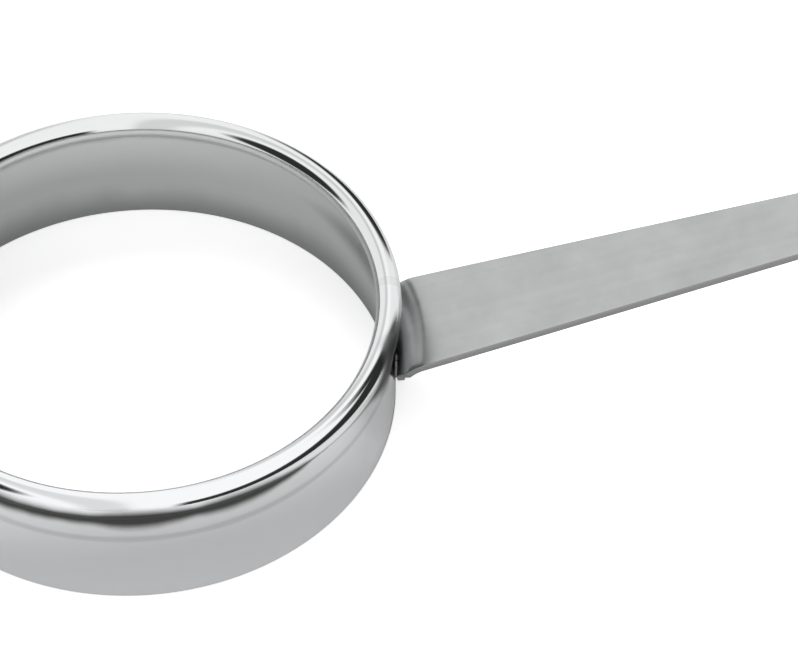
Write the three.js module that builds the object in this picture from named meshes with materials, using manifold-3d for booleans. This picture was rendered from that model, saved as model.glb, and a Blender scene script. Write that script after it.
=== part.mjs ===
// Egg ring: a rolled sheet band with a curled rim, and a bent strip handle spot-welded to it.
// Millimetres, +Z up. The band stands on z = 0 and the handle runs out along +X.
import * as THREE from 'three';
import { mergeVertices } from 'three/addons/utils/BufferGeometryUtils.js';
import Module from 'manifold-3d';

// Band
const RING_INNER_DIAMETER = 101.6;
const BAND_SHEET = 0.8;
const BAND_HEIGHT = 28.4;
const CURL_BORE = 3.4; // hollow inside the rolled rim
const CURL_INSET = 0.5; // from the wall's inner face in to the middle of the rolled rim
const SEAM_WIDTH = 1.6; // weld that closes the hoop

// Handle
const HANDLE_SHEET = 1.6;
const HANDLE_BASE_WIDTH = 24;
const HANDLE_TIP_WIDTH = 14.2;
const BLADE_LENGTH = 100; // flat part, along its slope, to the end of the rounded tip
const HANDLE_RISE = THREE.MathUtils.degToRad(16);
const BEND_INNER_RADIUS = 6.4;
const FLANGE_HEIGHT = 6.6; // straight part below the bend
const FLANGE_FOOT_GAP = 2; // from the band's bottom edge up to the flange
const FLANGE_FOOT_WIDTH = 10;
const FLANGE_CORNER_RADIUS = 3;
const FLANGE_TAPER_HEIGHT = 12; // from the foot up to where the handle has its full width
const HANG_HOLE_DIAMETER = 7;

// Spot welds between flange and band
const SPOT_DIAMETER = 3.6;
const SPOT_SPACING = 6.2; // between the middles of the two welds

// Gap kept between neighbouring pieces, and spare length of cutting shapes
const CLEARANCE = 0.3;
const OVERCUT = 3;

// Facets
const RING_SEGMENTS = 96;
const CURL_SEGMENTS = 6;
const BEND_SEGMENTS = 5;
const WIDTH_STEPS = 12;
const ROUND_SEGMENTS = 12; // per half turn
const QUARTER_TURN = Math.PI / 2;

// Sizes that follow from the ones above
const innerRadius = RING_INNER_DIAMETER / 2;
const outerRadius = innerRadius + BAND_SHEET;
const boreRadius = CURL_BORE / 2;
const curlRadius = boreRadius + BAND_SHEET;
const curlMiddle = innerRadius - CURL_INSET;
const rimRadius = curlMiddle + curlRadius;
const bendRadius = BEND_INNER_RADIUS + HANDLE_SHEET;
const halfWidth = HANDLE_BASE_WIDTH / 2;
const tipRadius = HANDLE_TIP_WIDTH / 2;
const flangeFace = outerRadius + CLEARANCE;
const flangeTop = FLANGE_FOOT_GAP + FLANGE_HEIGHT;
const slope = new THREE.Vector2(Math.cos(HANDLE_RISE), Math.sin(HANDLE_RISE));
const bladeNormal = new THREE.Vector2(-slope.y, slope.x);
const bendCentre = new THREE.Vector2(flangeFace + bendRadius, flangeTop);
const bladeStart = bendCentre.clone().addScaledVector(bladeNormal, bendRadius);
const bladeEnd = bladeStart.clone().addScaledVector(slope, BLADE_LENGTH);

const wasm = await Module();
wasm.setup();

function toSolid(geometry) {
  const bare = geometry.clone();
  bare.deleteAttribute('normal');
  bare.deleteAttribute('uv');
  const merged = mergeVertices(bare);
  return new wasm.Manifold(new wasm.Mesh({
    numProp: 3,
    vertProperties: new Float32Array(merged.attributes.position.array),
    triVerts: new Uint32Array(merged.index.array),
  }));
}

function toGeometry(solid) {
  const mesh = solid.getMesh();
  const geometry = new THREE.BufferGeometry();
  geometry.setAttribute('position', new THREE.BufferAttribute(mesh.vertProperties, 3));
  geometry.setIndex(new THREE.BufferAttribute(mesh.triVerts, 1));
  geometry.computeVertexNormals();
  return geometry;
}

// Section of the band: plain wall, then the rim rolled inward, over the top and down outside,
// round a hollow, until it nearly meets the wall's outer face again
function bandSection() {
  const centre = new THREE.Vector2(curlMiddle, BAND_HEIGHT - curlRadius);
  const wallReach = CURL_INSET + BAND_SHEET;
  const curlEdge = wallReach + CLEARANCE;
  const wallTop = centre.y - Math.sqrt(boreRadius ** 2 - wallReach ** 2);
  const section = new THREE.Path();
  section.moveTo(outerRadius, 0);
  section.lineTo(outerRadius, wallTop);
  section.absarc(
    centre.x, centre.y, boreRadius,
    -Math.acos(wallReach / boreRadius), -Math.acos(curlEdge / boreRadius), true,
  );
  section.absarc(
    centre.x, centre.y, curlRadius,
    -Math.acos(curlEdge / curlRadius), -Math.acos(CURL_INSET / curlRadius), false,
  );
  section.lineTo(innerRadius, 0);
  section.lineTo(outerRadius, 0);
  return section.getPoints(CURL_SEGMENTS);
}

// The whole hoop, before the seam is cut
function hoopSolid() {
  const hoop = new THREE.LatheGeometry(bandSection(), RING_SEGMENTS);
  hoop.rotateX(QUARTER_TURN);
  return toSolid(hoop);
}

// Upright slab across the band at the seam
function seamSlab(width) {
  const reach = 2 * (curlRadius + CURL_INSET + OVERCUT);
  const height = BAND_HEIGHT + 2 * OVERCUT;
  const slab = new THREE.BoxGeometry(reach, width, height);
  slab.translate(innerRadius, 0, BAND_HEIGHT / 2);
  return toSolid(slab);
}

// Round bar along the radius through the middle of a spot weld; side is +1 or -1
function spotBar(side, diameter, spare) {
  const inner = innerRadius - spare;
  const outer = flangeFace + HANDLE_SHEET + spare;
  const height = FLANGE_FOOT_GAP + FLANGE_HEIGHT / 2;
  const turn = side * Math.asin(SPOT_SPACING / 2 / flangeFace);
  const bar = new THREE.CylinderGeometry(diameter / 2, diameter / 2, outer - inner, ROUND_SEGMENTS);
  bar.rotateZ(-QUARTER_TURN);
  bar.translate((outer + inner) / 2, 0, height);
  bar.rotateZ(turn);
  return toSolid(bar);
}

function spotHole(side) {
  return spotBar(side, SPOT_DIAMETER + 2 * CLEARANCE, OVERCUT);
}

// The handle's strip at full width: flange, bend and blade as one bent section drawn across Y.
// Each slice slides along the blade's slope so that the flange follows the curve of the band.
function bentStrip() {
  const section = new THREE.Shape();
  const topEnd = bladeEnd.clone().addScaledVector(slope, OVERCUT);
  const lowEnd = topEnd.clone().addScaledVector(bladeNormal, -HANDLE_SHEET);
  const rollStart = QUARTER_TURN + HANDLE_RISE;
  section.moveTo(flangeFace, FLANGE_FOOT_GAP - OVERCUT);
  section.lineTo(flangeFace, flangeTop);
  section.absarc(bendCentre.x, bendCentre.y, bendRadius, Math.PI, rollStart, true);
  section.lineTo(topEnd.x, topEnd.y);
  section.lineTo(lowEnd.x, lowEnd.y);
  section.absarc(bendCentre.x, bendCentre.y, BEND_INNER_RADIUS, rollStart, Math.PI, false);
  section.lineTo(flangeFace + HANDLE_SHEET, FLANGE_FOOT_GAP - OVERCUT);
  section.closePath();
  const strip = new THREE.ExtrudeGeometry(section, {
    depth: HANDLE_BASE_WIDTH,
    steps: WIDTH_STEPS,
    curveSegments: BEND_SEGMENTS,
    bevelEnabled: false,
  });
  strip.rotateX(QUARTER_TURN);
  strip.translate(0, halfWidth, 0);
  const place = strip.attributes.position;
  for (let i = 0; i < place.count; i += 1) {
    const y = place.getY(i);
    const slide = Math.sqrt(flangeFace ** 2 - y ** 2) - flangeFace;
    place.setX(i, place.getX(i) + slide);
    place.setZ(i, place.getZ(i) + slide * Math.tan(HANDLE_RISE));
  }
  return toSolid(strip);
}

// Outline of the handle seen square to the blade: full width at the bend, straight taper, round tip
function bladeOutline() {
  const tipCentre = BLADE_LENGTH - tipRadius;
  const cornerToTip = Math.hypot(tipCentre, halfWidth);
  const tipStart = Math.PI - Math.atan2(halfWidth, tipCentre) - Math.acos(tipRadius / cornerToTip);
  const back = -bendRadius - flangeTop - OVERCUT;
  const outline = new THREE.Shape();
  outline.moveTo(back, -halfWidth - OVERCUT);
  outline.lineTo(0, -halfWidth - OVERCUT);
  outline.lineTo(0, -halfWidth);
  outline.absarc(tipCentre, 0, tipRadius, -tipStart, tipStart, false);
  outline.lineTo(0, halfWidth);
  outline.lineTo(0, halfWidth + OVERCUT);
  outline.lineTo(back, halfWidth + OVERCUT);
  outline.closePath();
  const hole = new THREE.Path();
  hole.absarc(tipCentre, 0, HANG_HOLE_DIAMETER / 2, 0, 2 * Math.PI, true);
  outline.holes.push(hole);
  const depth = bendRadius + flangeTop + 2 * OVERCUT;
  const block = new THREE.ExtrudeGeometry(outline, {
    depth,
    curveSegments: ROUND_SEGMENTS,
    bevelEnabled: false,
  });
  block.translate(0, 0, OVERCUT - depth);
  block.rotateY(-HANDLE_RISE);
  block.translate(bladeStart.x, 0, bladeStart.y);
  return toSolid(block);
}

// Outline of the flange seen along the handle: a narrow foot with round corners, sides that spread
// to the full width within the bend
function flangeOutline() {
  const corner = new THREE.Vector2(
    FLANGE_FOOT_WIDTH / 2 - FLANGE_CORNER_RADIUS,
    FLANGE_FOOT_GAP + FLANGE_CORNER_RADIUS,
  );
  const shoulder = FLANGE_FOOT_GAP + FLANGE_TAPER_HEIGHT;
  const toShoulder = new THREE.Vector2(halfWidth, shoulder).sub(corner);
  const sideTurn = toShoulder.angle() - Math.acos(FLANGE_CORNER_RADIUS / toShoulder.length());
  const top = bladeEnd.y + OVERCUT;
  const outline = new THREE.Shape();
  outline.moveTo(-halfWidth - OVERCUT, top);
  outline.lineTo(-halfWidth - OVERCUT, shoulder);
  outline.lineTo(-halfWidth, shoulder);
  outline.absarc(
    -corner.x, corner.y, FLANGE_CORNER_RADIUS, Math.PI - sideTurn, Math.PI + QUARTER_TURN, false,
  );
  outline.absarc(corner.x, corner.y, FLANGE_CORNER_RADIUS, -QUARTER_TURN, sideTurn, false);
  outline.lineTo(halfWidth, shoulder);
  outline.lineTo(halfWidth + OVERCUT, shoulder);
  outline.lineTo(halfWidth + OVERCUT, top);
  outline.closePath();
  const block = new THREE.ExtrudeGeometry(outline, {
    depth: bladeEnd.x + OVERCUT,
    curveSegments: BEND_SEGMENTS,
    bevelEnabled: false,
  });
  block.rotateX(QUARTER_TURN);
  block.rotateZ(QUARTER_TURN);
  return toSolid(block);
}

function ringBand() {
  return hoopSolid()
    .subtract(seamSlab(SEAM_WIDTH + 2 * CLEARANCE))
    .subtract(spotHole(1))
    .subtract(spotHole(-1));
}

function bandSeamWeld() {
  return hoopSolid().intersect(seamSlab(SEAM_WIDTH));
}

function handle() {
  return bentStrip()
    .intersect(bladeOutline())
    .intersect(flangeOutline())
    .subtract(spotHole(1))
    .subtract(spotHole(-1));
}

function spotWeld(side) {
  return spotBar(side, SPOT_DIAMETER, 0);
}

// Origin under the middle of the whole outline, on the plane that the band stands on
const eggRing = new THREE.Group();
const reachOut = bladeEnd.x + HANDLE_SHEET * slope.y;
eggRing.position.x = (rimRadius - reachOut) / 2;

function addPiece(name, solid, look) {
  const piece = new THREE.Mesh(toGeometry(solid), new THREE.MeshStandardMaterial(look));
  piece.name = name;
  eggRing.add(piece);
}

addPiece('ring_band', ringBand(), { color: 0xc6c8ca, metalness: 1, roughness: 0.18 });
addPiece('band_seam_weld', bandSeamWeld(), { color: 0xbcbcba, metalness: 1, roughness: 0.34 });
addPiece('handle', handle(), { color: 0xc0c1c1, metalness: 1, roughness: 0.36 });
addPiece('spot_weld_left', spotWeld(1), { color: 0xb2b0ac, metalness: 1, roughness: 0.42 });
addPiece('spot_weld_right', spotWeld(-1), { color: 0xb2b0ac, metalness: 1, roughness: 0.42 });

export default eggRing;
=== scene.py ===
"""Egg ring in stainless steel: a polished band with a curled rim, and a satin strip handle.

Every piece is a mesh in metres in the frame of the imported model: the band stands on z = 0 and the
handle runs out along +X.
"""
from math import acos, asin, atan2, cos, hypot, pi, radians, sin, sqrt, tan

import bmesh
import bpy
from mathutils import Matrix, Vector


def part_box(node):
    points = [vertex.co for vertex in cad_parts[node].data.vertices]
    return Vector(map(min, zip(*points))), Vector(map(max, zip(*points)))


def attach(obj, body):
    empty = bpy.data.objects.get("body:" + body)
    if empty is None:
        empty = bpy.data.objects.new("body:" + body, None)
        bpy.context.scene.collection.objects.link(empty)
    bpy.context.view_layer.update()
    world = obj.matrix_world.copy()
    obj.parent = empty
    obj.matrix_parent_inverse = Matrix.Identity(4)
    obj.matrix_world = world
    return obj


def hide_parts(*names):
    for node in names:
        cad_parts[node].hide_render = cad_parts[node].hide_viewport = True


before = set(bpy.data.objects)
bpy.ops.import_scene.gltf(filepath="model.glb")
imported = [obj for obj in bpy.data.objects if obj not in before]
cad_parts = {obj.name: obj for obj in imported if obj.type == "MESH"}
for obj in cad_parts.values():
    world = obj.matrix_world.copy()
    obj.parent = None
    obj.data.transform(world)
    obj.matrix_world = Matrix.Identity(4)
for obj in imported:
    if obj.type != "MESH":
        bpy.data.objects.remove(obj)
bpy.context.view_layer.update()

MM = 0.001

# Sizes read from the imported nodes
band_low, band_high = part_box("ring_band")
handle_low, handle_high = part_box("handle")
ring_x = (band_low.x + band_high.x) / 2
rim_radius = (band_high.y - band_low.y) / 2
band_height = band_high.z
handle_half_width = (handle_high.y - handle_low.y) / 2
flange_foot = handle_low.z

# Sheet and forming sizes of the real pieces
BAND_SHEET = 0.8 * MM
CURL_RADIUS = 2.5 * MM
CURL_INSET = 0.5 * MM
CURL_SLIT = 0.3 * MM
HANDLE_SHEET = 1.6 * MM
HANDLE_RISE = radians(16)
BEND_INNER_RADIUS = 6.4 * MM
FLANGE_HEIGHT = 6.6 * MM
FLANGE_FOOT_WIDTH = 10 * MM
FLANGE_CORNER_RADIUS = 3 * MM
FLANGE_TAPER_HEIGHT = 12 * MM
TIP_RADIUS = 7.1 * MM
BLADE_LENGTH = 100 * MM
HANG_HOLE_RADIUS = 3.5 * MM
SEAM_WIDTH = 2.2 * MM
SPOT_RADIUS = 1.8 * MM
SPOT_SPACING = 6.2 * MM
SPOT_MARK = ((0.0, 0.02 * MM), (0.55, 0.02 * MM), (0.72, 0.09 * MM), (0.86, 0.09 * MM), (1.0, 0.0))
EDGE_BREAK = 0.3 * MM
SEAM_SWELL = 0.01 * MM
FLANGE_GAP = 0.3 * MM

# Sizes that follow
inner_radius = rim_radius - CURL_RADIUS + CURL_INSET
outer_radius = inner_radius + BAND_SHEET
middle_radius = (inner_radius + outer_radius) / 2
curl_bore = CURL_RADIUS - BAND_SHEET
flange_face = outer_radius + FLANGE_GAP
bend_radius = BEND_INNER_RADIUS + HANDLE_SHEET
flange_top = flange_foot + FLANGE_HEIGHT
bend_sweep = pi / 2 - HANDLE_RISE
bend_length = bend_radius * bend_sweep

# Mesh fineness
HOOP_STEPS = 288
CURL_STEPS = 36
WALL_STEPS = 6
BREAK_STEPS = 4
CORNER_STEPS = 10
BEND_STEPS = 16
BLADE_STEPS = 40
WIDTH_STEPS = 20
TIP_STEPS = 24
SIDE_STEPS = 12
SPOT_STEPS = 40
HOLE_RING_SHARES = (0.45, 0.8, 1.0)
HOLE_PATCH_REACH = 2.4 * TIP_RADIUS
SAME_POINT = 1e-7
SMOOTH_ANGLE = radians(40)


def new_piece(name, bm, material, node):
    """Turns a bmesh into a piece that stands for a CAD node."""
    bmesh.ops.recalc_face_normals(bm, faces=bm.faces)
    mesh = bpy.data.meshes.new(name)
    bm.to_mesh(mesh)
    bm.free()
    mesh.shade_smooth()
    mesh.set_sharp_from_angle(angle=SMOOTH_ANGLE)
    mesh.materials.append(material)
    piece = bpy.data.objects.new(name, mesh)
    bpy.context.scene.collection.objects.link(piece)
    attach(piece, "root")
    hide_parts(node)


def arc(centre, radius, start, end, steps):
    """Points on an arc, both ends included."""
    return [
        Vector((centre[0] + radius * cos(start + (end - start) * i / steps),
                centre[1] + radius * sin(start + (end - start) * i / steps)))
        for i in range(steps + 1)
    ]


def line(start, end, steps):
    """Points on a line, both ends included."""
    return [Vector(start).lerp(Vector(end), i / steps) for i in range(steps + 1)]


def drop_repeats(points):
    """The same closed row of points without neighbours that fall on each other."""
    kept = []
    for point in points:
        if not kept or (point - kept[-1]).length > SAME_POINT:
            kept.append(point)
    if (kept[0] - kept[-1]).length < SAME_POINT:
        kept.pop()
    return kept


def band_section(swell=0.0):
    """Closed section of the band as (radius, height): wall, hollow curl and broken foot edge."""
    curl = CURL_RADIUS + swell
    centre = (inner_radius - CURL_INSET, band_height - CURL_RADIUS)
    inside, outside = inner_radius - swell, outer_radius + swell
    slit = CURL_INSET + BAND_SHEET + CURL_SLIT
    foot = EDGE_BREAK / 2
    wall_turn = -acos((outside - centre[0]) / curl_bore)
    turn = 2 * pi
    points = line((outside, foot), (outside, centre[1] + curl_bore * sin(wall_turn)), WALL_STEPS)
    points += arc(centre, curl_bore, wall_turn, -acos(slit / curl_bore) - turn, CURL_STEPS)
    curl_end = turn - acos((inside - centre[0]) / curl)
    points += arc(centre, curl, -acos(slit / curl), curl_end, CURL_STEPS)
    points += line(points[-1], (inside, foot), WALL_STEPS)
    points += arc((inside + foot, foot), foot, pi, 1.5 * pi, BREAK_STEPS)
    points += arc((outside - foot, foot), foot, -0.5 * pi, 0, BREAK_STEPS)
    return drop_repeats(points)


def section_marks():
    """Run along the band's section from the foot to the places where its curl makes a crease."""
    wall, slit = CURL_INSET + BAND_SHEET, CURL_INSET + BAND_SHEET + CURL_SLIT
    wall_top = band_height - CURL_RADIUS - sqrt(curl_bore ** 2 - wall ** 2)
    bore_run = curl_bore * (2 * pi + acos(slit / curl_bore) - acos(wall / curl_bore))
    lip = sqrt(CURL_RADIUS ** 2 - slit ** 2) - sqrt(curl_bore ** 2 - slit ** 2)
    curl_start = wall_top + bore_run + lip
    curl_turn = 2 * pi - acos(CURL_INSET / CURL_RADIUS) + acos(slit / CURL_RADIUS)
    inner_corner = curl_start + CURL_RADIUS * curl_turn
    corner_drop = sqrt(CURL_RADIUS ** 2 - CURL_INSET ** 2)
    return {
        "wall_top": wall_top,
        "curl_start": curl_start,
        "inner_corner": inner_corner,
        "inner_foot": inner_corner + band_height - CURL_RADIUS - corner_drop - EDGE_BREAK / 2,
    }


def revolve(section, start, end, steps):
    """Turns a closed section part of the way round the ring's axis, with a cap at both ends."""
    bm = bmesh.new()
    run = bm.loops.layers.uv.new("run")
    reach = [0.0]
    for a, b in zip(section, section[1:] + section[:1]):
        reach.append(reach[-1] + (b - a).length)
    rings = []
    for i in range(steps + 1):
        angle = start + (end - start) * i / steps
        rings.append([
            bm.verts.new((ring_x + p[0] * cos(angle), p[0] * sin(angle), p[1])) for p in section
        ])
    count = len(section)
    for i in range(steps):
        along = [(start + (end - start) * k / steps) * middle_radius for k in (i, i + 1)]
        for j in range(count):
            k = (j + 1) % count
            a, b = rings[i], rings[i + 1]
            face = bm.faces.new((a[j], b[j], b[k], a[k]))
            spots = ((along[0], reach[j]), (along[1], reach[j]),
                     (along[1], reach[j + 1]), (along[0], reach[j + 1]))
            for loop, spot in zip(face.loops, spots):
                loop[run].uv = spot
    bm.faces.new(rings[0])
    bm.faces.new(rings[-1])
    return bm


def make_ring_band(material):
    half = SEAM_WIDTH / 2 / middle_radius
    bm = revolve(band_section(), half, 2 * pi - half, HOOP_STEPS)
    new_piece("ring_band_polished", bm, material, "ring_band")


def make_seam_weld(material):
    half = SEAM_WIDTH / 2 / middle_radius
    bm = revolve(band_section(SEAM_SWELL), -half, half, BREAK_STEPS)
    new_piece("band_seam_dressed", bm, material, "band_seam_weld")


def strip_point(run, across, depth):
    """A point of the bent strip: run along its face from the foot, across it, depth into it."""
    if run < FLANGE_HEIGHT:
        x, z = flange_face, flange_foot + run
        normal = (-1.0, 0.0)
        slide_share, rise_share = 1.0, run / FLANGE_HEIGHT
    elif run < FLANGE_HEIGHT + bend_length:
        angle = (run - FLANGE_HEIGHT) / bend_radius
        normal = (-cos(angle), sin(angle))
        x = flange_face + bend_radius + bend_radius * normal[0]
        z = flange_top + bend_radius * normal[1]
        slide_share, rise_share = 1.0, 1.0
    else:
        along = run - FLANGE_HEIGHT - bend_length
        normal = (-sin(HANDLE_RISE), cos(HANDLE_RISE))
        x = flange_face + bend_radius + bend_radius * normal[0] + along * cos(HANDLE_RISE)
        z = flange_top + bend_radius * normal[1] + along * sin(HANDLE_RISE)
        slide_share = max(0.0, 1.0 - along / (2 * handle_half_width))
        rise_share = slide_share
    slide = sqrt(flange_face ** 2 - across ** 2) - flange_face
    x += slide * slide_share - depth * normal[0]
    z += slide * tan(HANDLE_RISE) * rise_share - depth * normal[1]
    return Vector((ring_x + x, across, z))


def strip_rows(inset):
    """Rows (run, half width) of the handle's outline from its foot to the patch at its tip."""
    half = handle_half_width - inset
    radius = FLANGE_CORNER_RADIUS - inset
    corner = Vector((FLANGE_FOOT_WIDTH / 2 - FLANGE_CORNER_RADIUS, FLANGE_CORNER_RADIUS))
    reach = Vector((half, FLANGE_TAPER_HEIGHT)) - corner
    side_turn = atan2(reach.y, reach.x) - acos(radius / reach.length)
    foot = arc(corner, radius, -pi / 2, side_turn, CORNER_STEPS)
    rows = [(point.y, point.x) for point in foot]
    low = foot[-1]
    spread = (half - low.x) / (FLANGE_TAPER_HEIGHT - low.y)
    for i in range(1, WALL_STEPS + 1):
        run = low.y + (FLANGE_HEIGHT - low.y) * i / WALL_STEPS
        rows.append((run, low.x + spread * (run - low.y)))
    shoulder = asin((FLANGE_TAPER_HEIGHT - FLANGE_HEIGHT) / bend_radius)
    for i in range(1, BEND_STEPS + 1):
        angle = shoulder * i / BEND_STEPS
        run = FLANGE_HEIGHT + bend_radius * sin(angle)
        rows.append((FLANGE_HEIGHT + bend_radius * angle, low.x + spread * (run - low.y)))
    for i in range(1, BEND_STEPS + 1):
        angle = shoulder + (bend_sweep - shoulder) * i / BEND_STEPS
        rows.append((FLANGE_HEIGHT + bend_radius * angle, half))
    start, taper = FLANGE_HEIGHT + bend_length, blade_taper()
    patch = blade_patch_start()
    for i in range(1, BLADE_STEPS + 1):
        along = patch * i / BLADE_STEPS
        rows.append((start + along, half - along * tan(taper)))
    return rows


def blade_taper():
    """Angle of the blade's side edge, which runs tangent into the round tip."""
    tip_centre = BLADE_LENGTH - TIP_RADIUS
    corner = atan2(handle_half_width, tip_centre)
    return corner - (pi / 2 - acos(TIP_RADIUS / hypot(tip_centre, handle_half_width)))


def blade_patch_start():
    """How far out along the blade the patch round the hang hole begins."""
    return BLADE_LENGTH - HOLE_PATCH_REACH


def make_handle(material):
    bm = bmesh.new()
    run_map = bm.loops.layers.uv.new("run")
    sheared = bm.verts.layers.float.new("sheared")
    flat_of = {}
    tip_run = FLANGE_HEIGHT + bend_length + BLADE_LENGTH - TIP_RADIUS
    taper = blade_taper()
    rows = strip_rows(EDGE_BREAK)

    def put(flat, depth):
        vert = bm.verts.new(strip_point(flat[0], flat[1], depth))
        flat_of[vert] = (flat[0], flat[1] + depth)
        return vert

    def stitch(a, b):
        """Band of faces between two closed rows."""
        count = len(a)
        for i in range(count):
            k = (i + 1) % count
            bm.faces.new((a[i], a[k], b[k], b[i]))

    def skin(depth):
        """One face of the strip: a grid, and rings round the hang hole. Returns its two rims."""
        grid = []
        for run, half in rows:
            grid.append([
                put((run, half * (2 * j / WIDTH_STEPS - 1)), depth) for j in range(WIDTH_STEPS + 1)
            ])
        for low, high in zip(grid, grid[1:]):
            for j in range(WIDTH_STEPS):
                bm.faces.new((low[j], low[j + 1], high[j + 1], high[j]))
        tip = TIP_RADIUS - EDGE_BREAK
        sweep = pi / 2 - taper
        tip_flat = [
            (tip_run + tip * cos(sweep - 2 * sweep * i / TIP_STEPS),
             tip * sin(sweep - 2 * sweep * i / TIP_STEPS))
            for i in range(TIP_STEPS + 1)
        ]
        tip_row = [put(flat, depth) for flat in tip_flat]
        last_run, half = rows[-1]
        side_flat = line((last_run, half), tip_flat[0], SIDE_STEPS)[1:-1]
        other_flat = line(tip_flat[-1], (last_run, -half), SIDE_STEPS)[1:-1]
        side_row = [put(flat, depth) for flat in side_flat]
        other_row = [put(flat, depth) for flat in other_flat]
        outer = grid[-1] + side_row + tip_row + other_row
        hole_radius = HANG_HOLE_RADIUS + EDGE_BREAK
        rings = [outer]
        for share in HOLE_RING_SHARES:
            ring = []
            for vert in outer:
                run, across = flat_of[vert][0], flat_of[vert][1] - depth
                angle = atan2(across, run - tip_run)
                hole_run = tip_run + hole_radius * cos(angle)
                hole_across = hole_radius * sin(angle)
                flat = (run + (hole_run - run) * share, across + (hole_across - across) * share)
                ring.append(put(flat, depth))
            rings.append(ring)
        for a, b in zip(rings, rings[1:]):
            stitch(a, b)
        side = [row[-1] for row in grid]
        other = [row[0] for row in grid]
        rim = grid[0] + side[1:] + side_row + tip_row + other_row + other[:0:-1]
        return rim, rings[-1]

    def flats(rim):
        return [Vector((flat_of[v][0], flat_of[v][1])) for v in rim]

    def outward(points):
        """Unit normals of a closed row of flat points, pointing out of it."""
        area = sum(a.x * b.y - b.x * a.y for a, b in zip(points, points[1:] + points[:1]))
        turn = 1.0 if area > 0 else -1.0
        normals = []
        count = len(points)
        for i in range(count):
            along = (points[(i + 1) % count] - points[i - 1]).normalized()
            normals.append(Vector((along.y * turn, -along.x * turn)))
        return normals

    top_rim, top_hole = skin(0.0)
    low_rim, low_hole = skin(HANDLE_SHEET)

    def edge(top, low, sign):
        """Rounded edge that joins the two faces along a rim; sign is -1 round a hole."""
        points = flats(top)
        normals = outward(points)
        previous = top
        profile = []
        for i in range(1, BREAK_STEPS + 1):
            angle = pi / 2 * i / BREAK_STEPS
            profile.append((EDGE_BREAK * sin(angle), EDGE_BREAK * (1 - cos(angle))))
        profile += [(out, HANDLE_SHEET - depth) for out, depth in reversed(profile)]
        for out, depth in profile:
            row = [
                put(point + normal * (out * sign), depth) for point, normal in zip(points, normals)
            ]
            for vert in row:
                vert[sheared] = 1.0
            stitch(previous, row)
            previous = row
        stitch(previous, low)

    edge(top_rim, low_rim, 1)
    edge(top_hole, low_hole, -1)
    for face in bm.faces:
        for loop in face.loops:
            loop[run_map].uv = flat_of[loop.vert]
    new_piece("handle_strip_satin", bm, material, "handle")


def make_spot_weld(side, material):
    """One spot weld with an electrode's low ring and dimple on the band and on the flange."""
    word = "left" if side > 0 else "right"
    angle = side * asin(SPOT_SPACING / 2 / flange_face)
    height = flange_foot + FLANGE_HEIGHT / 2
    inner, outer = inner_radius, flange_face + HANDLE_SHEET
    profile = [(share * SPOT_RADIUS, inner - proud) for share, proud in SPOT_MARK]
    profile += [(share * SPOT_RADIUS, outer + proud) for share, proud in reversed(SPOT_MARK)]
    bm = bmesh.new()
    run = bm.loops.layers.uv.new("run")
    place = Matrix.Translation((ring_x, 0, height)) @ Matrix.Rotation(angle, 4, "Z")
    rows = []
    for radius, reach in profile:
        if radius == 0:
            rows.append([bm.verts.new(place @ Vector((reach, 0, 0)))])
            continue
        turns = [2 * pi * i / SPOT_STEPS for i in range(SPOT_STEPS)]
        rows.append([
            bm.verts.new(place @ Vector((reach, radius * cos(turn), radius * sin(turn))))
            for turn in turns
        ])
    for a, b in zip(rows, rows[1:]):
        for i in range(SPOT_STEPS):
            k = (i + 1) % SPOT_STEPS
            corners = [a[i % len(a)], a[k % len(a)], b[k % len(b)], b[i % len(b)]]
            bm.faces.new(list(dict.fromkeys(corners)))
    for face in bm.faces:
        for loop in face.loops:
            loop[run].uv = (loop.vert.co.y, loop.vert.co.z)
    new_piece("spot_weld_mark_" + word, bm, material, "spot_weld_" + word)


# Finish of the steel: share of the fine lines that run together into streaks, detail and contrast of
# the cloudy haze, waviness of the painted shade along a crease, and depth of the fine relief
GRAIN_DETAIL = 3.0
STREAK_SHARE = 0.12
HAZE_DETAIL = 5.0
HAZE_ROUGHNESS = 0.62
HAZE_SPAN = (0.35, 0.7)
SHADE_WAVES_PER_METRE = 45.0
SHADE_WAVE_DETAIL = 3.0
SHADE_WAVE_SPAN = (0.55, 1.45)
RELIEF_DEPTH = 0.02 * MM


def new_group(name, inputs, outputs):
    """Empty shader node group with named value sockets, and its input and output nodes."""
    group = bpy.data.node_groups.new(name, "ShaderNodeTree")
    for label, value in inputs:
        socket = group.interface.new_socket(label, in_out="INPUT", socket_type="NodeSocketFloat")
        socket.default_value = value
    for label in outputs:
        group.interface.new_socket(label, in_out="OUTPUT", socket_type="NodeSocketFloat")
    return group, group.nodes.new("NodeGroupInput"), group.nodes.new("NodeGroupOutput")


def feed(tree, socket, value):
    """Sets a socket to a number, or links another socket to it."""
    if isinstance(value, (int, float)):
        socket.default_value = value
    else:
        tree.links.new(value, socket)


def math_node(tree, operation, *values):
    """Math node whose inputs are sockets or numbers. Returns its output."""
    node = tree.nodes.new("ShaderNodeMath")
    node.operation = operation
    for socket, value in zip(node.inputs, values):
        feed(tree, socket, value)
    return node.outputs[0]


def mean(tree, a, b):
    """Mean of two sockets. Returns its output."""
    return math_node(tree, "MULTIPLY", math_node(tree, "ADD", a, b), 0.5)


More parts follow.
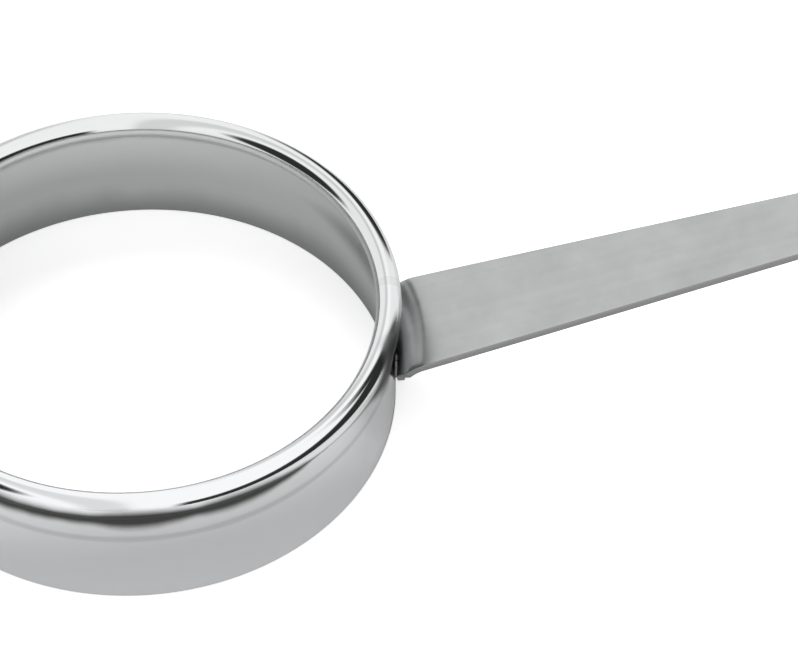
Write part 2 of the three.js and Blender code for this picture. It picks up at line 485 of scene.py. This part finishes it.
def sheet_grain_group():
    """Fine lines along the sheet's rolling or polishing direction."""
    group, inputs, outputs = new_group(
        "sheet_grain", (("Lines per metre", 4000.0), ("Line length", 0.02)), ("Grain", "Streak"))
    nodes, links = group.nodes, group.links
    place = nodes.new("ShaderNodeUVMap")
    place.uv_map = "run"
    split = nodes.new("ShaderNodeSeparateXYZ")
    links.new(place.outputs[0], split.inputs[0])
    lengths = math_node(group, "DIVIDE", split.outputs[0], inputs.outputs["Line length"])
    lines = math_node(group, "MULTIPLY", split.outputs[1], inputs.outputs["Lines per metre"])
    for label, share in (("Grain", 1.0), ("Streak", STREAK_SHARE)):
        join = nodes.new("ShaderNodeCombineXYZ")
        links.new(math_node(group, "MULTIPLY", lengths, share), join.inputs[0])
        links.new(math_node(group, "MULTIPLY", lines, share), join.inputs[1])
        noise = nodes.new("ShaderNodeTexNoise")
        noise.inputs["Scale"].default_value = 1.0
        noise.inputs["Detail"].default_value = GRAIN_DETAIL
        links.new(join.outputs[0], noise.inputs["Vector"])
        links.new(noise.outputs["Fac"], outputs.inputs[label])
    return group


def handling_haze_group():
    """Soft cloudy patches that hands and washing leave on bright steel."""
    group, inputs, outputs = new_group("handling_haze", (("Patch size", 0.02),), ("Haze",))
    nodes, links = group.nodes, group.links
    place = nodes.new("ShaderNodeTexCoord")
    noise = nodes.new("ShaderNodeTexNoise")
    noise.inputs["Detail"].default_value = HAZE_DETAIL
    noise.inputs["Roughness"].default_value = HAZE_ROUGHNESS
    links.new(place.outputs["Object"], noise.inputs["Vector"])
    scale = math_node(group, "DIVIDE", 1.0, inputs.outputs["Patch size"])
    links.new(scale, noise.inputs["Scale"])
    ramp = nodes.new("ShaderNodeMapRange")
    ramp.inputs["From Min"].default_value, ramp.inputs["From Max"].default_value = HAZE_SPAN
    links.new(noise.outputs["Fac"], ramp.inputs["Value"])
    links.new(ramp.outputs["Result"], outputs.inputs["Haze"])
    return group


def place_group(tree, group, **values):
    """Places a node group in a material with its own values. Returns its node."""
    node = tree.nodes.new("ShaderNodeGroup")
    node.node_tree = group
    for label, value in values.items():
        node.inputs[label.replace("_", " ")].default_value = value
    return node


def ramp_node(tree, value, low, high):
    """Map Range from 0..1 to low..high. Returns its output."""
    node = tree.nodes.new("ShaderNodeMapRange")
    node.inputs["To Min"].default_value = low
    node.inputs["To Max"].default_value = high
    tree.links.new(value, node.inputs["Value"])
    return node.outputs["Result"]


def edge_mask(tree, value, start, end):
    """Smooth mask that goes from 0 at start to 1 at end. Returns its output."""
    node = tree.nodes.new("ShaderNodeMapRange")
    node.interpolation_type = "SMOOTHSTEP"
    feed(tree, node.inputs["From Min"], start)
    feed(tree, node.inputs["From Max"], end)
    tree.links.new(value, node.inputs["Value"])
    return node.outputs["Result"]


def painted_crease_shade_group(name, places):
    """Painted shade: a dark line along a crease of the section, where shade falls, that thins out
    away from it and grows or thins at given places round the ring.
    """
    group, inputs, outputs = new_group(
        name,
        (("Crease place", 0.0), ("Reach", 0.002), ("Core", 0.4),
         ("Depth", 1.0), ("Gathered depth", 1.0), ("Gather", 0.0)),
        ("Shade",))
    nodes, links = group.nodes, group.links
    place = nodes.new("ShaderNodeUVMap")
    place.uv_map = "run"
    split = nodes.new("ShaderNodeSeparateXYZ")
    links.new(place.outputs[0], split.inputs[0])
    away = math_node(group, "SUBTRACT", split.outputs[1], inputs.outputs["Crease place"])
    away = math_node(group, "DIVIDE", math_node(group, "ABSOLUTE", away), inputs.outputs["Reach"])
    noise = nodes.new("ShaderNodeTexNoise")
    noise.noise_dimensions = "1D"
    noise.inputs["Scale"].default_value = SHADE_WAVES_PER_METRE
    noise.inputs["Detail"].default_value = SHADE_WAVE_DETAIL
    links.new(split.outputs[0], noise.inputs["W"])
    spread = ramp_node(group, noise.outputs["Fac"], *SHADE_WAVE_SPAN)
    depth = inputs.outputs["Depth"]
    extra = math_node(group, "SUBTRACT", inputs.outputs["Gathered depth"], depth)
    for angle, width, share in places:
        aside = math_node(group, "SUBTRACT", split.outputs[0], angle * middle_radius)
        aside = math_node(group, "ABSOLUTE", aside)
        heap = edge_mask(group, aside, width * middle_radius, 0.0)
        heap = math_node(group, "MULTIPLY", heap, inputs.outputs["Gather"])
        if share > 0:
            depth = math_node(group, "MULTIPLY_ADD", heap, extra, depth)
        heap = math_node(group, "MULTIPLY_ADD", heap, share, 1.0)
        spread = math_node(group, "MULTIPLY", spread, heap)
    near = edge_mask(group, math_node(group, "DIVIDE", away, spread), 1.0, inputs.outputs["Core"])
    links.new(math_node(group, "MULTIPLY", near, depth), outputs.inputs["Shade"])
    return group


def sheared_edge(tree, colour):
    """Darker tone on the cut edges of a strip. Returns the new colour output."""
    cut = tree.nodes.new("ShaderNodeAttribute")
    cut.attribute_name = "sheared"
    mix = tree.nodes.new("ShaderNodeMix")
    mix.data_type = "RGBA"
    tree.links.new(cut.outputs["Fac"], mix.inputs["Factor"])
    tree.links.new(colour, mix.inputs["A"])
    mix.inputs["B"].default_value = (*CUT_TONE, 1.0)
    return mix.outputs["Result"]


def painted_light_side(tree, tone_share, share):
    """Painted light: tone factor that rises towards the ring's front side, so that side looks
    lighter. Returns its output.
    """
    place = tree.nodes.new("ShaderNodeTexCoord")
    split = tree.nodes.new("ShaderNodeSeparateXYZ")
    tree.links.new(place.outputs["Object"], split.inputs[0])
    bright = edge_mask(tree, split.outputs[1], rim_radius, -rim_radius)
    rest = math_node(tree, "MULTIPLY", tone_share, 1.0 - share)
    return math_node(tree, "MULTIPLY_ADD", bright, share, rest)


def steel(name, dark, light, smooth, dull, lines, length, patch, bump,
          painted_shades=(), sheared=False, lit_side_share=0.0):
    """Stainless steel whose tone, gloss and relief follow its grain and its haze; it can carry
    painted shade along crease lines and painted light on one side.
    """
    material = bpy.data.materials.new(name)
    material.use_nodes = True
    tree = material.node_tree
    shader = tree.nodes["Principled BSDF"]
    shader.inputs["Metallic"].default_value = 1.0
    grain = place_group(tree, GRAIN, Lines_per_metre=lines, Line_length=length)
    haze = place_group(tree, HAZE, Patch_size=patch)
    tone = tree.nodes.new("ShaderNodeMix")
    tone.data_type = "RGBA"
    tone.inputs["A"].default_value = (*dark, 1.0)
    tone.inputs["B"].default_value = (*light, 1.0)
    tone_share = mean(tree, haze.outputs["Haze"], grain.outputs["Streak"])
    # Painted light: the tone is pushed lighter towards the ring's front side.
    if lit_side_share:
        tone_share = painted_light_side(tree, tone_share, lit_side_share)
    tree.links.new(tone_share, tone.inputs["Factor"])
    colour = tone.outputs["Result"]
    if sheared:
        colour = sheared_edge(tree, colour)
    # Painted shade: each crease line darkens the colour towards a near-black tone and dulls the gloss
    # there.
    matt = []
    for group, values in painted_shades:
        painted_shade = place_group(tree, group, **values)
        shade_mix = tree.nodes.new("ShaderNodeMix")
        shade_mix.data_type = "RGBA"
        tree.links.new(painted_shade.outputs["Shade"], shade_mix.inputs["Factor"])
        tree.links.new(colour, shade_mix.inputs["A"])
        shade_mix.inputs["B"].default_value = (*PAINTED_SHADE_TONE, 1.0)
        colour = shade_mix.outputs["Result"]
        matt.append(ramp_node(tree, painted_shade.outputs["Shade"], 0.0, PAINTED_SHADE_ROUGHNESS))
    tree.links.new(colour, shader.inputs["Base Color"])
    blur = mean(tree, haze.outputs["Haze"], grain.outputs["Grain"])
    blur = ramp_node(tree, blur, smooth, dull)
    for dullness in matt:
        blur = math_node(tree, "MAXIMUM", blur, dullness)
    tree.links.new(blur, shader.inputs["Roughness"])
    relief = tree.nodes.new("ShaderNodeBump")
    relief.inputs["Strength"].default_value = bump
    relief.inputs["Distance"].default_value = RELIEF_DEPTH
    tree.links.new(grain.outputs["Grain"], relief.inputs["Height"])
    tree.links.new(relief.outputs["Normal"], shader.inputs["Normal"])
    return material


# Angles round the ring where the painted crease shade grows or thins, as painted reflections: middle,
# spread, and share more or less
OUTER_SHADE_PLACES = (
    (radians(360), radians(6), -0.9),
    (radians(343), radians(14), 1.4),
    (radians(316), radians(22), -0.75),
    (radians(270), radians(14), 0.3),
    (radians(30), radians(15), 0.9),
    (radians(2), radians(17), -0.9),
)
INNER_SHADE_PLACES = (
    (radians(20), radians(30), 4.0),
)

GRAIN = sheet_grain_group()
HAZE = handling_haze_group()
OUTER_SHADE = painted_crease_shade_group("outer_painted_crease_shade", OUTER_SHADE_PLACES)
INNER_SHADE = painted_crease_shade_group("inner_painted_crease_shade", INNER_SHADE_PLACES)

# Tone and dullness of the painted crease shade, tone of a sheared edge, the height of a faint painted
# line of reflected shade on the outer wall, and how far below the inner corner a painted shade line
# lies
PAINTED_SHADE_TONE = (0.03, 0.029, 0.027)
PAINTED_SHADE_ROUGHNESS = 0.55
CUT_TONE = (0.34, 0.34, 0.34)
REFLECTED_SHADE_HEIGHT = 17.3 * MM
UNDER_BEAD_SHADE_DROP = 8.0 * MM


def shade_line(place, reach, core, depth, gathered=None, gather=0.0):
    """Values of one line of painted shade: its run along the section, reach, solid share of the
    reach, depth, depth where it grows, and how much it grows."""
    return {
        "Crease_place": place, "Reach": reach, "Core": core, "Depth": depth,
        "Gathered_depth": depth if gathered is None else gathered, "Gather": gather,
    }


marks = section_marks()
# Painted shade: dark lines under the curl on the outer side and in the inner corner, and shade that
# darkens the inner wall towards its foot.
PAINTED_SHADE_LINES = (
    (OUTER_SHADE, shade_line(marks["wall_top"], 4.6 * MM, 0.45, 0.94, gather=0.7)),
    (OUTER_SHADE, shade_line(marks["curl_start"], 3.4 * MM, 0.4, 0.95, gather=0.5)),
    # Painted shade: a faint line of reflected shade along the outer wall.
    (OUTER_SHADE, shade_line(REFLECTED_SHADE_HEIGHT, 1.3 * MM, 0.2, 0.2)),
    (INNER_SHADE, shade_line(marks["inner_corner"], 2.6 * MM, 0.4, 0.35)),
    # Painted shade: a dark line under the bead, only near the joint.
    (INNER_SHADE, shade_line(marks["inner_corner"] + UNDER_BEAD_SHADE_DROP, 1.3 * MM, 0.0, 0.0, 0.58, 1.0)),
    (INNER_SHADE, shade_line(marks["inner_foot"], 9.5 * MM, 0.0, 0.46)),
)

# Painted light: the band's front side is made lighter; painted shade lies along its crease lines.
POLISHED = steel(
    "polished_stainless", dark=(0.775, 0.795, 0.79), light=(0.91, 0.913, 0.927),
    smooth=0.05, dull=0.12, lines=5000.0, length=0.05, patch=0.045, bump=0.04,
    painted_shades=PAINTED_SHADE_LINES, lit_side_share=0.6)
# The dressed seam carries the same painted crease shade.
DRESSED = steel(
    "dressed_weld_steel", dark=(0.75, 0.75, 0.75), light=(0.85, 0.85, 0.845),
    smooth=0.08, dull=0.18, lines=3500.0, length=0.004, patch=0.012, bump=0.12,
    painted_shades=PAINTED_SHADE_LINES)
SATIN = steel(
    "satin_stainless", dark=(0.535, 0.553, 0.55), light=(0.70, 0.714, 0.712),
    smooth=0.26, dull=0.38, lines=4200.0, length=0.04, patch=0.012, bump=0.3,
    sheared=True)
NUGGET = steel(
    "spot_weld_steel", dark=(0.34, 0.335, 0.33), light=(0.5, 0.495, 0.485),
    smooth=0.3, dull=0.5, lines=2500.0, length=0.003, patch=0.004, bump=0.3)

make_ring_band(POLISHED)
make_seam_weld(DRESSED)
make_handle(SATIN)
make_spot_weld(1, NUGGET)
make_spot_weld(-1, NUGGET)

# Camera at the photograph's viewing angle
IMAGE_WIDTH = 798
FOCAL_PIXELS = 3241.3
SENSOR_WIDTH = 36.0
CAMERA_DISTANCE = 665.6 * MM
CAMERA_ELEVATION = radians(48.13)
CAMERA_AZIMUTH = radians(-94.99)
CAMERA_TARGET = Vector((ring_x + 53.58 * MM, 12.97 * MM, 0.0))
CAMERA_CLIP = (0.01, 50.0)


def make_camera():
    data = bpy.data.cameras.new("camera")
    data.sensor_width = SENSOR_WIDTH
    data.lens = FOCAL_PIXELS * SENSOR_WIDTH / IMAGE_WIDTH
    data.clip_start, data.clip_end = CAMERA_CLIP
    camera = bpy.data.objects.new("camera", data)
    bpy.context.scene.collection.objects.link(camera)
    away = Vector((cos(CAMERA_ELEVATION) * cos(CAMERA_AZIMUTH),
                   cos(CAMERA_ELEVATION) * sin(CAMERA_AZIMUTH), sin(CAMERA_ELEVATION)))
    camera.location = CAMERA_TARGET + away * CAMERA_DISTANCE
    camera.rotation_euler = away.to_track_quat("Z", "Y").to_euler()
    bpy.context.scene.camera = camera


# Floor: half its length, how far it lies below the ring, its tone, and its glow to eye and metal
FLOOR_REACH = 12.0
FLOOR_DROP = 0.1 * MM
FLOOR_TONE = (0.8, 0.8, 0.8, 1.0)
FLOOR_SEEN_GLOW = 0.62
FLOOR_METAL_GLOW = 0.065
WHITE = (1.0, 1.0, 1.0, 1.0)

# Light levels of the studio: fill on matt things, then what metal sees
STUDIO_FILL = 0.345
STUDIO_WALL = 0.94
STUDIO_PANEL = 1.05
STUDIO_GAP = 0.75
STUDIO_DIM = 0.03

# Edges of the studio's parts: an axis, and where a part starts and is full as a direction turns to it
TOP_PANEL = ((0, -0.45, 0.9), 0.45, 0.7)
BACK_PANEL = ((0, 1, 0), 0.0, 0.2)
BACK_PANEL_LEFT = ((1, 0, 0), -0.18, -0.08)
BACK_PANEL_RIGHT = ((-1, 0, 0), -0.34, -0.24)
GAP_LEFT = ((1, 0, 0), -0.44, -0.28)
GAP_RIGHT = ((-1, 0, 0), 0.04, 0.14)
LEFT_FLAG = ((-0.85, -0.2, 0.49), 0.87, 0.94)
RIGHT_SIDE = ((1, 0, 0), 0.14, 0.26)
RIGHT_LOW = ((0, 0.25, -1), -0.68, -0.6)
RIGHT_BACK = ((0, 1, 0), 0.18, 0.34)
RIGHT_BACK_TOP = ((0, 0, -1), -0.9, -0.8)
RIGHT_SLOT_FAR = ((0, 1, 0), 0.73, 0.79)
RIGHT_SLOT_NEAR = ((0, -1, 0), -0.58, -0.48)

# Soft boxes: name, place, size and watts
SOFT_BOXES = (
    ("soft_box_above", (-0.2, 0.95, 1.3), (1.0, 1.0), 15.5),
    ("soft_box_front", (-0.4, -1.4, 0.5), (1.2, 0.5), 14.5),
)


def make_floor():
    """Plain pale floor, white to the eye, that keeps the object's soft shadow."""
    bm = bmesh.new()
    corners = ((-1, -1), (1, -1), (1, 1), (-1, 1))
    bm.faces.new([bm.verts.new((x * FLOOR_REACH, y * FLOOR_REACH, -FLOOR_DROP)) for x, y in corners])
    mesh = bpy.data.meshes.new("floor")
    bm.to_mesh(mesh)
    bm.free()
    floor = bpy.data.objects.new("floor", mesh)
    bpy.context.scene.collection.objects.link(floor)
    material = bpy.data.materials.new("pale_floor")
    material.use_nodes = True
    tree = material.node_tree
    shader = tree.nodes["Principled BSDF"]
    shader.inputs["Base Color"].default_value = FLOOR_TONE
    shader.inputs["Roughness"].default_value = 1.0
    shader.inputs["Specular IOR Level"].default_value = 0.0
    shader.inputs["Emission Color"].default_value = WHITE
    path = tree.nodes.new("ShaderNodeLightPath")
    seen = math_node(tree, "MULTIPLY", path.outputs["Is Camera Ray"], FLOOR_SEEN_GLOW)
    shone = math_node(tree, "MULTIPLY", path.outputs["Is Glossy Ray"], FLOOR_METAL_GLOW)
    tree.links.new(math_node(tree, "ADD", seen, shone), shader.inputs["Emission Strength"])
    mesh.materials.append(material)


def make_world():
    """Studio that metal sees as pale, with bright panels above and behind, a duller gap behind,
    a dark flag at the left, and a dark right side with a bright slot in it."""
    world = bpy.data.worlds.new("studio")
    bpy.context.scene.world = world
    world.use_nodes = True
    tree = world.node_tree
    back = tree.nodes["Background"]
    back.inputs["Color"].default_value = WHITE
    place = tree.nodes.new("ShaderNodeTexCoord")

    def towards(axis, start, end):
        """Mask over directions that goes from 0 to 1 as they turn to an axis."""
        turn = tree.nodes.new("ShaderNodeVectorMath")
        turn.operation = "DOT_PRODUCT"
        tree.links.new(place.outputs["Generated"], turn.inputs[0])
        turn.inputs[1].default_value = axis
        return edge_mask(tree, turn.outputs["Value"], start, end)

    def both(a, b):
        return math_node(tree, "MULTIPLY", a, b)

    def either(a, b):
        return math_node(tree, "MAXIMUM", a, b)

    back_panel = both(towards(*BACK_PANEL_LEFT), towards(*BACK_PANEL_RIGHT))
    back_panel = both(back_panel, towards(*BACK_PANEL))
    panels = either(towards(*TOP_PANEL), back_panel)
    gap = both(towards(*GAP_LEFT), towards(*GAP_RIGHT))
    left = towards(*LEFT_FLAG)
    right = either(towards(*RIGHT_LOW), both(towards(*RIGHT_BACK), towards(*RIGHT_BACK_TOP)))
    right = both(right, either(towards(*RIGHT_SLOT_FAR), towards(*RIGHT_SLOT_NEAR)))
    right = both(right, towards(*RIGHT_SIDE))
    level = ramp_node(tree, panels, STUDIO_WALL, STUDIO_PANEL)
    level = both(level, ramp_node(tree, gap, 1.0, STUDIO_GAP))
    level = both(level, ramp_node(tree, either(left, right), 1.0, STUDIO_DIM))
    path = tree.nodes.new("ShaderNodeLightPath")
    seen = path.outputs["Is Camera Ray"]
    shone = either(path.outputs["Is Glossy Ray"], path.outputs["Is Transmission Ray"])
    level = either(both(level, shone), seen)
    unseen = math_node(tree, "SUBTRACT", 1.0, either(seen, shone))
    fill = math_node(tree, "MULTIPLY", unseen, STUDIO_FILL)
    tree.links.new(math_node(tree, "ADD", level, fill), back.inputs["Strength"])


def make_lamp(name, place, size, power):
    """Soft box that faces the origin and lights matt things only; metal sees the studio instead."""
    data = bpy.data.lights.new(name, "AREA")
    data.shape = "RECTANGLE"
    data.size, data.size_y = size
    data.energy = power
    lamp = bpy.data.objects.new(name, data)
    bpy.context.scene.collection.objects.link(lamp)
    lamp.location = place
    lamp.rotation_euler = Vector(place).to_track_quat("Z", "Y").to_euler()
    lamp.visible_glossy = False


make_camera()
make_floor()
make_world()
for soft_box in SOFT_BOXES:
    make_lamp(*soft_box)

bpy.context.scene.view_settings.view_transform = "Standard"
